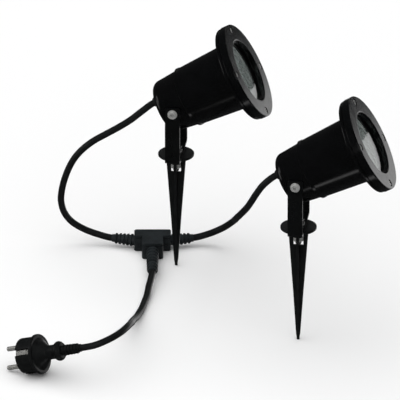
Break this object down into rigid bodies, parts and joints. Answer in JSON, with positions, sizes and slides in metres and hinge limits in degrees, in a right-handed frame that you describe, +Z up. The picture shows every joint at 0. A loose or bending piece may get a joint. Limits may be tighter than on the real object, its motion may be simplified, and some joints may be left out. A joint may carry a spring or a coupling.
{
  "type": "garden spotlight set on ground spikes",
  "caption": "Pair of black garden spotlight projectors on ground spikes, with tilting heads, rubber leads, a T splitter and an earthed two-pin plug.",
  "frame": {"origin": "middle of the underside of the left spike's disc, which is the soil line of the left spike", "axes": "+Z up along the spikes; +X is the way the beams point, turned 7 degrees about Z and 28 degrees up; +Y goes from the right lamp's side towards the left lamp's far side"},
  "size_m": [0.3868, 0.3461, 0.2619],
  "materials": {
    "head_paint": "gloss",
    "yoke_paint": "satin",
    "zinc_steel": "satin",
    "nickel": "gloss",
    "spike_plastic": "satin",
    "front_glass": "gloss",
    "seal_rubber": "matte",
    "lamp_reflector": "gloss",
    "lamp_lens": "gloss",
    "holder_ceramic": "satin",
    "block_plastic": "satin",
    "lead_rubber": "satin",
    "splitter_rubber": "matte",
    "plug_rubber": "satin"
  },
  "bodies": {
    "root": {"left_spike": "spike_plastic", "left_spike_nut": "zinc_steel", "left_yoke_bolt": "yoke_paint", "left_yoke_washer": "zinc_steel", "left_lead_lower": "lead_rubber", "right_spike": "spike_plastic", "right_spike_nut": "zinc_steel", "right_yoke_bolt": "yoke_paint", "right_yoke_washer": "zinc_steel", "right_lead_lower": "lead_rubber", "splitter_base": "splitter_rubber", "splitter_lid": "splitter_rubber", "splitter_boot_left": "splitter_rubber", "splitter_boot_right": "splitter_rubber", "splitter_boot_stem": "splitter_rubber", "splitter_splices": "nickel", "plug_body": "plug_rubber", "plug_pins": "nickel", "plug_earth_clips": "nickel", "plug_boot": "plug_rubber", "plug_lead": "lead_rubber"},
    "left_yoke": {"left_yoke": "yoke_paint", "left_lead_upper": "lead_rubber"},
    "left_head": {"left_pivot_screws": "zinc_steel", "left_pivot_washers": "zinc_steel", "left_rear_cap": "head_paint", "left_housing": "head_paint", "left_seam_gasket": "seal_rubber", "left_bezel": "head_paint", "left_bezel_screws": "zinc_steel", "left_glass": "front_glass", "left_glass_gasket": "seal_rubber", "left_lamp_body": "lamp_reflector", "left_lamp_lens": "lamp_lens", "left_lamp_pins": "nickel", "left_lamp_holder": "holder_ceramic", "left_holder_bracket": "zinc_steel", "left_bracket_screws": "zinc_steel", "left_terminal_block": "block_plastic", "left_cable_gland": "seal_rubber"},
    "right_yoke": {"right_yoke": "yoke_paint", "right_lead_upper": "lead_rubber"},
    "right_head": {"right_pivot_screws": "zinc_steel", "right_pivot_washers": "zinc_steel", "right_rear_cap": "head_paint", "right_housing": "head_paint", "right_seam_gasket": "seal_rubber", "right_bezel": "head_paint", "right_bezel_screws": "zinc_steel", "right_glass": "front_glass", "right_glass_gasket": "seal_rubber", "right_lamp_body": "lamp_reflector", "right_lamp_lens": "lamp_lens", "right_lamp_pins": "nickel", "right_lamp_holder": "holder_ceramic", "right_holder_bracket": "zinc_steel", "right_bracket_screws": "zinc_steel", "right_terminal_block": "block_plastic", "right_cable_gland": "seal_rubber"}
  },
  "joints": [
    {"name": "left_pan", "type": "hinge", "parent": "root", "child": "left_yoke", "pos_m": [0, 0, 0.004], "axis": [0, 0, 1], "range_deg": [-50, 50], "deforming": ["left_lead_lower"]},
    {"name": "left_tilt", "type": "hinge", "parent": "left_yoke", "child": "left_head", "pos_m": [0, 0, 0.058], "axis": [-0.1219, -0.9925, 0], "range_deg": [-30, 45], "deforming": ["left_lead_upper"]},
    {"name": "right_pan", "type": "hinge", "parent": "root", "child": "right_yoke", "pos_m": [0.122, -0.18, 0.004], "axis": [0, 0, 1], "range_deg": [-50, 50], "deforming": ["right_lead_lower"]},
    {"name": "right_tilt", "type": "hinge", "parent": "right_yoke", "child": "right_head", "pos_m": [0.122, -0.18, 0.058], "axis": [-0.1219, -0.9925, 0], "range_deg": [-30, 45], "deforming": ["right_lead_upper"]}
  ]
}
